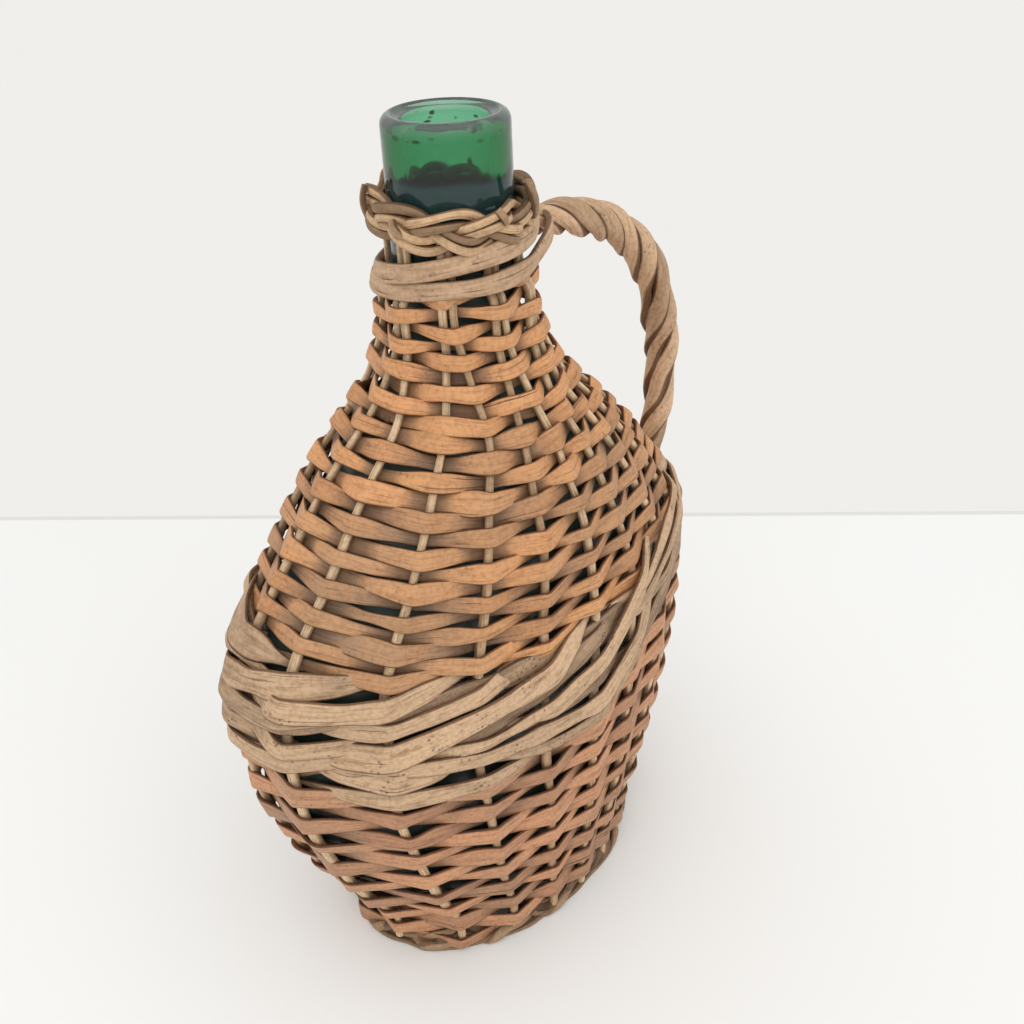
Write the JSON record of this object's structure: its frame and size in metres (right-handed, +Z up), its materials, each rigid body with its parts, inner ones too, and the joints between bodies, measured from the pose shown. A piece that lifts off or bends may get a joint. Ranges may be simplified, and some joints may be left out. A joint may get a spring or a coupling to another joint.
{
  "type": "wicker demijohn",
  "caption": "Flat oval green glass demijohn in a woven willow jacket, with a pale belly band, plaited neck border and twisted rope handle at one side.",
  "frame": {"origin": "centre of the overall box on the ground the foot rope stands on", "axes": "+Z up along the bottle, +X along the long axis of the oval towards the handle, +Y across the flat faces"},
  "size_m": [0.2352, 0.1204, 0.3458],
  "materials": {
    "glass": "gloss",
    "stake_willow": "satin",
    "upper_weave": "satin",
    "lower_weave": "satin",
    "pale_willow": "matte",
    "foot_rope": "matte"
  },
  "bodies": {
    "root": {"glass_bottle": "glass", "stake_1a": "stake_willow", "stake_1b": "stake_willow", "stake_2a": "stake_willow", "stake_2b": "stake_willow", "stake_3a": "stake_willow", "stake_3b": "stake_willow", "stake_4a": "stake_willow", "stake_4b": "stake_willow", "stake_5a": "stake_willow", "stake_5b": "stake_willow", "stake_6a": "stake_willow", "stake_6b": "stake_willow", "stake_7a": "stake_willow", "stake_7b": "stake_willow", "stake_8a": "stake_willow", "stake_8b": "stake_willow", "stake_9a": "stake_willow", "stake_9b": "stake_willow", "stake_extra": "stake_willow", "plait_rod_1": "stake_willow", "plait_rod_2": "stake_willow", "plait_rod_3": "stake_willow", "base_long_stick_1": "stake_willow", "base_long_stick_2": "stake_willow", "base_long_stick_3": "stake_willow", "base_short_stick_1": "stake_willow", "base_short_stick_2": "stake_willow", "base_short_stick_3": "stake_willow", "base_short_stick_4": "stake_willow", "base_short_stick_5": "stake_willow", "upper_skein_1": "upper_weave", "upper_skein_2": "upper_weave", "upper_skein_3": "upper_weave", "upper_skein_4": "upper_weave", "upper_skein_5": "upper_weave", "upper_skein_6": "upper_weave", "neck_skein": "upper_weave", "lower_skein_1": "lower_weave", "lower_skein_2": "lower_weave", "lower_skein_3": "lower_weave", "lower_skein_4": "lower_weave", "lower_skein_5": "lower_weave", "lower_skein_6": "lower_weave", "base_weaver_1": "lower_weave", "base_weaver_2": "lower_weave", "wale_1": "pale_willow", "wale_2": "pale_willow", "wale_3": "pale_willow", "wale_4": "pale_willow", "wale_5": "pale_willow", "neck_band_1": "pale_willow", "neck_band_2": "pale_willow", "handle_rod_1": "pale_willow", "handle_rod_2": "pale_willow", "handle_rod_3": "pale_willow", "handle_rod_4": "pale_willow", "handle_rod_5": "pale_willow", "foot_rod_1": "foot_rope", "foot_rod_2": "foot_rope"}
  },
  "joints": []
}
